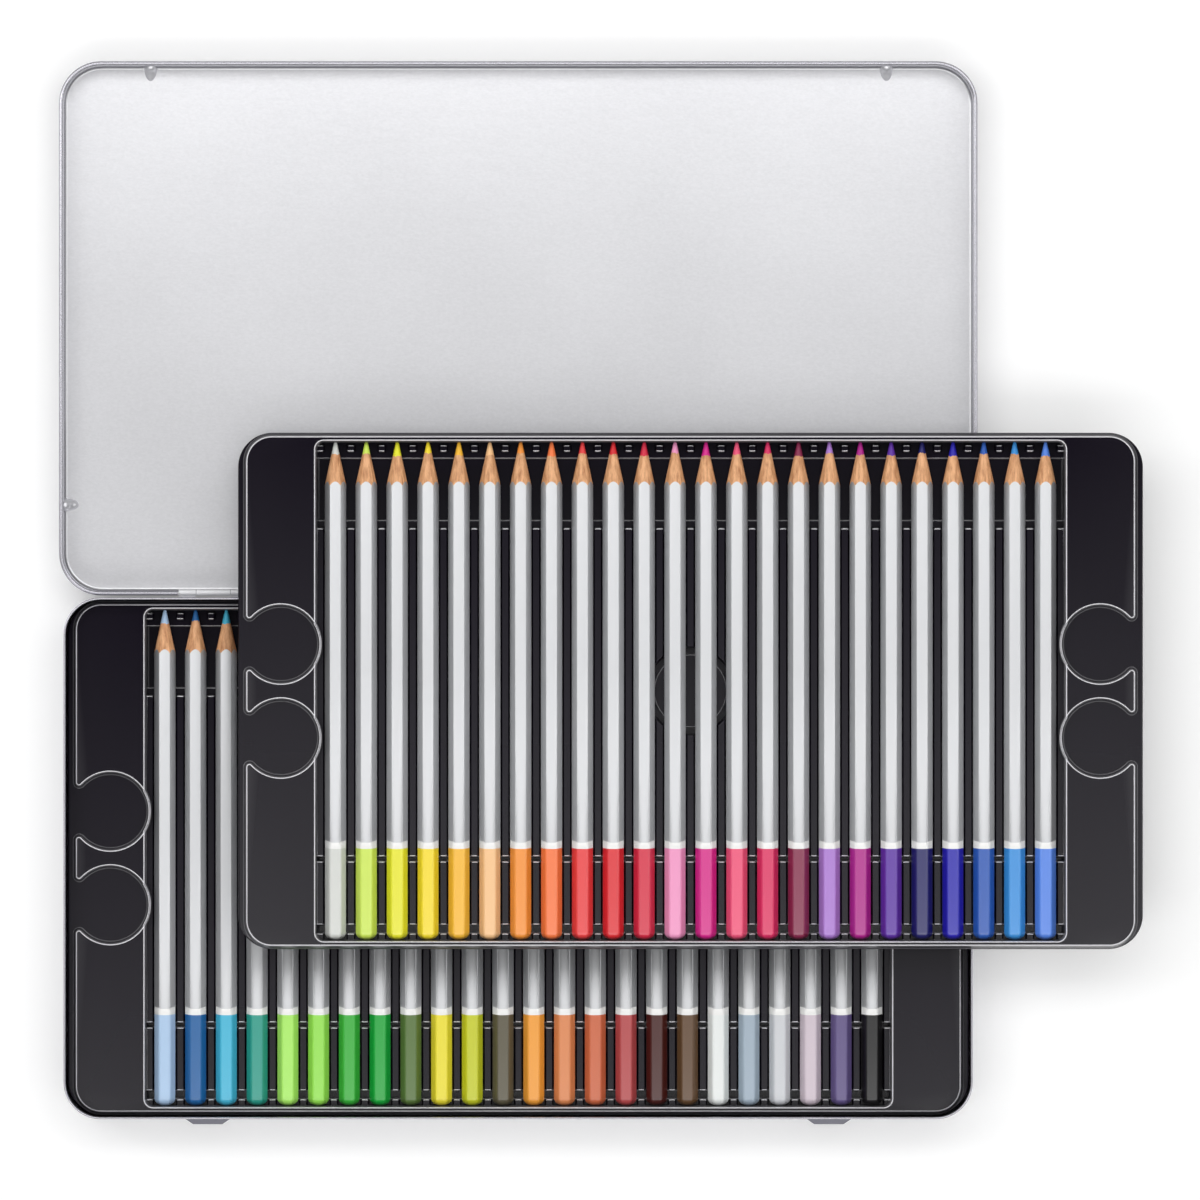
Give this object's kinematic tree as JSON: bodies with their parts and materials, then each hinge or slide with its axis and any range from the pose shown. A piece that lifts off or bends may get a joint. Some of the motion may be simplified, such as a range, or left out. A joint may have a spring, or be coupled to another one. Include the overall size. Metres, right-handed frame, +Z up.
{
  "type": "colored pencil tin",
  "caption": "Flat metal tin with its hinged lid lying open, moulded black trays of colored pencils, and the upper tray lifted out and laid across the open tin.",
  "frame": {"origin": "middle of the base pan's flat underside", "axes": "+Z up, +Y from the front of the base towards the hinges and the open lid, +X to the right"},
  "size_m": [0.3816, 0.375, 0.0313],
  "materials": {
    "tinplate": "satin drawn tinplate",
    "pin_wire": "bright drawn wire",
    "black_tray": "fine matt grain, glossy at the formed edges",
    "pencil_white": "lacquered wooden casing in silver, sharpened wood, and a glossy dipped end in this colour",
    "pencil_pale_lime": "lacquered wooden casing in silver, sharpened wood, and a glossy dipped end in this colour",
    "pencil_lemon": "lacquered wooden casing in silver, sharpened wood, and a glossy dipped end in this colour",
    "pencil_sun_yellow": "lacquered wooden casing in silver, sharpened wood, and a glossy dipped end in this colour",
    "pencil_amber": "lacquered wooden casing in silver, sharpened wood, and a glossy dipped end in this colour",
    "pencil_apricot": "lacquered wooden casing in silver, sharpened wood, and a glossy dipped end in this colour",
    "pencil_orange": "lacquered wooden casing in silver, sharpened wood, and a glossy dipped end in this colour",
    "pencil_deep_orange": "lacquered wooden casing in silver, sharpened wood, and a glossy dipped end in this colour",
    "pencil_vermilion": "lacquered wooden casing in silver, sharpened wood, and a glossy dipped end in this colour",
    "pencil_scarlet": "lacquered wooden casing in silver, sharpened wood, and a glossy dipped end in this colour",
    "pencil_crimson": "lacquered wooden casing in silver, sharpened wood, and a glossy dipped end in this colour",
    "pencil_pink": "lacquered wooden casing in silver, sharpened wood, and a glossy dipped end in this colour",
    "pencil_magenta": "lacquered wooden casing in silver, sharpened wood, and a glossy dipped end in this colour",
    "pencil_rose": "lacquered wooden casing in silver, sharpened wood, and a glossy dipped end in this colour",
    "pencil_carmine": "lacquered wooden casing in silver, sharpened wood, and a glossy dipped end in this colour",
    "pencil_burgundy": "lacquered wooden casing in silver, sharpened wood, and a glossy dipped end in this colour",
    "pencil_lilac": "lacquered wooden casing in silver, sharpened wood, and a glossy dipped end in this colour",
    "pencil_red_violet": "lacquered wooden casing in silver, sharpened wood, and a glossy dipped end in this colour",
    "pencil_violet": "lacquered wooden casing in silver, sharpened wood, and a glossy dipped end in this colour",
    "pencil_night_blue": "lacquered wooden casing in silver, sharpened wood, and a glossy dipped end in this colour",
    "pencil_ultramarine": "lacquered wooden casing in silver, sharpened wood, and a glossy dipped end in this colour",
    "pencil_cobalt": "lacquered wooden casing in silver, sharpened wood, and a glossy dipped end in this colour",
    "pencil_sky_blue": "lacquered wooden casing in silver, sharpened wood, and a glossy dipped end in this colour",
    "pencil_cornflower": "lacquered wooden casing in silver, sharpened wood, and a glossy dipped end in this colour",
    "pencil_ice_blue": "lacquered wooden casing in silver, sharpened wood, and a glossy dipped end in this colour",
    "pencil_petrol_blue": "lacquered wooden casing in silver, sharpened wood, and a glossy dipped end in this colour",
    "pencil_turquoise": "lacquered wooden casing in silver, sharpened wood, and a glossy dipped end in this colour",
    "pencil_sea_green": "lacquered wooden casing in silver, sharpened wood, and a glossy dipped end in this colour",
    "pencil_spring_green": "lacquered wooden casing in silver, sharpened wood, and a glossy dipped end in this colour",
    "pencil_light_green": "lacquered wooden casing in silver, sharpened wood, and a glossy dipped end in this colour",
    "pencil_leaf_green": "lacquered wooden casing in silver, sharpened wood, and a glossy dipped end in this colour",
    "pencil_emerald": "lacquered wooden casing in silver, sharpened wood, and a glossy dipped end in this colour",
    "pencil_olive": "lacquered wooden casing in silver, sharpened wood, and a glossy dipped end in this colour",
    "pencil_mustard": "lacquered wooden casing in silver, sharpened wood, and a glossy dipped end in this colour",
    "pencil_chartreuse": "lacquered wooden casing in silver, sharpened wood, and a glossy dipped end in this colour",
    "pencil_warm_gray": "lacquered wooden casing in silver, sharpened wood, and a glossy dipped end in this colour",
    "pencil_ochre": "lacquered wooden casing in silver, sharpened wood, and a glossy dipped end in this colour",
    "pencil_sienna": "lacquered wooden casing in silver, sharpened wood, and a glossy dipped end in this colour",
    "pencil_terracotta": "lacquered wooden casing in silver, sharpened wood, and a glossy dipped end in this colour",
    "pencil_brick": "lacquered wooden casing in silver, sharpened wood, and a glossy dipped end in this colour",
    "pencil_dark_brown": "lacquered wooden casing in silver, sharpened wood, and a glossy dipped end in this colour",
    "pencil_umber": "lacquered wooden casing in silver, sharpened wood, and a glossy dipped end in this colour",
    "pencil_silver_white": "lacquered wooden casing in silver, sharpened wood, and a glossy dipped end in this colour",
    "pencil_blue_gray": "lacquered wooden casing in silver, sharpened wood, and a glossy dipped end in this colour",
    "pencil_light_gray": "lacquered wooden casing in silver, sharpened wood, and a glossy dipped end in this colour",
    "pencil_rose_gray": "lacquered wooden casing in silver, sharpened wood, and a glossy dipped end in this colour",
    "pencil_purple_gray": "lacquered wooden casing in silver, sharpened wood, and a glossy dipped end in this colour",
    "pencil_black": "lacquered wooden casing in silver, sharpened wood, and a glossy dipped end in this colour"
  },
  "bodies": {
    "base": {"base_pan": "tinplate", "hinge_pin_left": "pin_wire", "hinge_pin_right": "pin_wire", "lower_tray": "black_tray", "lower_pencil_04": "pencil_sea_green", "lower_pencil_05": "pencil_spring_green", "lower_pencil_06": "pencil_light_green", "lower_pencil_07": "pencil_leaf_green", "lower_pencil_08": "pencil_emerald", "lower_pencil_09": "pencil_olive", "lower_pencil_10": "pencil_mustard", "lower_pencil_11": "pencil_chartreuse", "lower_pencil_12": "pencil_warm_gray", "lower_pencil_13": "pencil_ochre", "lower_pencil_14": "pencil_sienna", "lower_pencil_15": "pencil_terracotta", "lower_pencil_16": "pencil_brick", "lower_pencil_17": "pencil_dark_brown", "lower_pencil_18": "pencil_umber", "lower_pencil_19": "pencil_silver_white", "lower_pencil_20": "pencil_blue_gray", "lower_pencil_21": "pencil_light_gray", "lower_pencil_22": "pencil_rose_gray", "lower_pencil_23": "pencil_purple_gray", "lower_pencil_24": "pencil_black"},
    "lid": {"lid_pan": "tinplate"},
    "lifted_tray": {"upper_tray": "black_tray"},
    "upper_pencil_01_body": {"upper_pencil_01": "pencil_white"},
    "upper_pencil_02_body": {"upper_pencil_02": "pencil_pale_lime"},
    "upper_pencil_03_body": {"upper_pencil_03": "pencil_lemon"},
    "upper_pencil_04_body": {"upper_pencil_04": "pencil_sun_yellow"},
    "upper_pencil_05_body": {"upper_pencil_05": "pencil_amber"},
    "upper_pencil_06_body": {"upper_pencil_06": "pencil_apricot"},
    "upper_pencil_07_body": {"upper_pencil_07": "pencil_orange"},
    "upper_pencil_08_body": {"upper_pencil_08": "pencil_deep_orange"},
    "upper_pencil_09_body": {"upper_pencil_09": "pencil_vermilion"},
    "upper_pencil_10_body": {"upper_pencil_10": "pencil_scarlet"},
    "upper_pencil_11_body": {"upper_pencil_11": "pencil_crimson"},
    "upper_pencil_12_body": {"upper_pencil_12": "pencil_pink"},
    "upper_pencil_13_body": {"upper_pencil_13": "pencil_magenta"},
    "upper_pencil_14_body": {"upper_pencil_14": "pencil_rose"},
    "upper_pencil_15_body": {"upper_pencil_15": "pencil_carmine"},
    "upper_pencil_16_body": {"upper_pencil_16": "pencil_burgundy"},
    "upper_pencil_17_body": {"upper_pencil_17": "pencil_lilac"},
    "upper_pencil_18_body": {"upper_pencil_18": "pencil_red_violet"},
    "upper_pencil_19_body": {"upper_pencil_19": "pencil_violet"},
    "upper_pencil_20_body": {"upper_pencil_20": "pencil_night_blue"},
    "upper_pencil_21_body": {"upper_pencil_21": "pencil_ultramarine"},
    "upper_pencil_22_body": {"upper_pencil_22": "pencil_cobalt"},
    "upper_pencil_23_body": {"upper_pencil_23": "pencil_sky_blue"},
    "upper_pencil_24_body": {"upper_pencil_24": "pencil_cornflower"},
    "lower_pencil_01_body": {"lower_pencil_01": "pencil_ice_blue"},
    "lower_pencil_02_body": {"lower_pencil_02": "pencil_petrol_blue"},
    "lower_pencil_03_body": {"lower_pencil_03": "pencil_turquoise"}
  },
  "joints": [
    {"name": "lid_hinge", "type": "hinge", "parent": "base", "child": "lid", "pos_m": [0, 0.09362, 0.0125], "axis": [-1, 0, 0], "range_deg": [-180, 0]},
    {"name": "tray_slide", "type": "slide", "parent": "base", "child": "lifted_tray", "axis": [0, -1, 0], "range_m": [0, 0.4251]},
    {"name": "upper_pencil_01_lift", "type": "slide", "parent": "lifted_tray", "child": "upper_pencil_01_body", "axis": [0, 0, 1], "range_m": [0, 0.03]},
    {"name": "upper_pencil_02_lift", "type": "slide", "parent": "lifted_tray", "child": "upper_pencil_02_body", "axis": [0, 0, 1], "range_m": [0, 0.03]},
    {"name": "upper_pencil_03_lift", "type": "slide", "parent": "lifted_tray", "child": "upper_pencil_03_body", "axis": [0, 0, 1], "range_m": [0, 0.03]},
    {"name": "upper_pencil_04_lift", "type": "slide", "parent": "lifted_tray", "child": "upper_pencil_04_body", "axis": [0, 0, 1], "range_m": [0, 0.03]},
    {"name": "upper_pencil_05_lift", "type": "slide", "parent": "lifted_tray", "child": "upper_pencil_05_body", "axis": [0, 0, 1], "range_m": [0, 0.03]},
    {"name": "upper_pencil_06_lift", "type": "slide", "parent": "lifted_tray", "child": "upper_pencil_06_body", "axis": [0, 0, 1], "range_m": [0, 0.03]},
    {"name": "upper_pencil_07_lift", "type": "slide", "parent": "lifted_tray", "child": "upper_pencil_07_body", "axis": [0, 0, 1], "range_m": [0, 0.03]},
    {"name": "upper_pencil_08_lift", "type": "slide", "parent": "lifted_tray", "child": "upper_pencil_08_body", "axis": [0, 0, 1], "range_m": [0, 0.03]},
    {"name": "upper_pencil_09_lift", "type": "slide", "parent": "lifted_tray", "child": "upper_pencil_09_body", "axis": [0, 0, 1], "range_m": [0, 0.03]},
    {"name": "upper_pencil_10_lift", "type": "slide", "parent": "lifted_tray", "child": "upper_pencil_10_body", "axis": [0, 0, 1], "range_m": [0, 0.03]},
    {"name": "upper_pencil_11_lift", "type": "slide", "parent": "lifted_tray", "child": "upper_pencil_11_body", "axis": [0, 0, 1], "range_m": [0, 0.03]},
    {"name": "upper_pencil_12_lift", "type": "slide", "parent": "lifted_tray", "child": "upper_pencil_12_body", "axis": [0, 0, 1], "range_m": [0, 0.03]},
    {"name": "upper_pencil_13_lift", "type": "slide", "parent": "lifted_tray", "child": "upper_pencil_13_body", "axis": [0, 0, 1], "range_m": [0, 0.03]},
    {"name": "upper_pencil_14_lift", "type": "slide", "parent": "lifted_tray", "child": "upper_pencil_14_body", "axis": [0, 0, 1], "range_m": [0, 0.03]},
    {"name": "upper_pencil_15_lift", "type": "slide", "parent": "lifted_tray", "child": "upper_pencil_15_body", "axis": [0, 0, 1], "range_m": [0, 0.03]},
    {"name": "upper_pencil_16_lift", "type": "slide", "parent": "lifted_tray", "child": "upper_pencil_16_body", "axis": [0, 0, 1], "range_m": [0, 0.03]},
    {"name": "upper_pencil_17_lift", "type": "slide", "parent": "lifted_tray", "child": "upper_pencil_17_body", "axis": [0, 0, 1], "range_m": [0, 0.03]},
    {"name": "upper_pencil_18_lift", "type": "slide", "parent": "lifted_tray", "child": "upper_pencil_18_body", "axis": [0, 0, 1], "range_m": [0, 0.03]},
    {"name": "upper_pencil_19_lift", "type": "slide", "parent": "lifted_tray", "child": "upper_pencil_19_body", "axis": [0, 0, 1], "range_m": [0, 0.03]},
    {"name": "upper_pencil_20_lift", "type": "slide", "parent": "lifted_tray", "child": "upper_pencil_20_body", "axis": [0, 0, 1], "range_m": [0, 0.03]},
    {"name": "upper_pencil_21_lift", "type": "slide", "parent": "lifted_tray", "child": "upper_pencil_21_body", "axis": [0, 0, 1], "range_m": [0, 0.03]},
    {"name": "upper_pencil_22_lift", "type": "slide", "parent": "lifted_tray", "child": "upper_pencil_22_body", "axis": [0, 0, 1], "range_m": [0, 0.03]},
    {"name": "upper_pencil_23_lift", "type": "slide", "parent": "lifted_tray", "child": "upper_pencil_23_body", "axis": [0, 0, 1], "range_m": [0, 0.03]},
    {"name": "upper_pencil_24_lift", "type": "slide", "parent": "lifted_tray", "child": "upper_pencil_24_body", "axis": [0, 0, 1], "range_m": [0, 0.03]},
    {"name": "lower_pencil_01_lift", "type": "slide", "parent": "base", "child": "lower_pencil_01_body", "axis": [0, 0, 1], "range_m": [0, 0.03]},
    {"name": "lower_pencil_02_lift", "type": "slide", "parent": "base", "child": "lower_pencil_02_body", "axis": [0, 0, 1], "range_m": [0, 0.03]},
    {"name": "lower_pencil_03_lift", "type": "slide", "parent": "base", "child": "lower_pencil_03_body", "axis": [0, 0, 1], "range_m": [0, 0.03]}
  ],
  "couplings": [
    {"joint": "tray_slide", "follows": "lid_hinge", "m_per_rad": -0.13528}
  ]
}
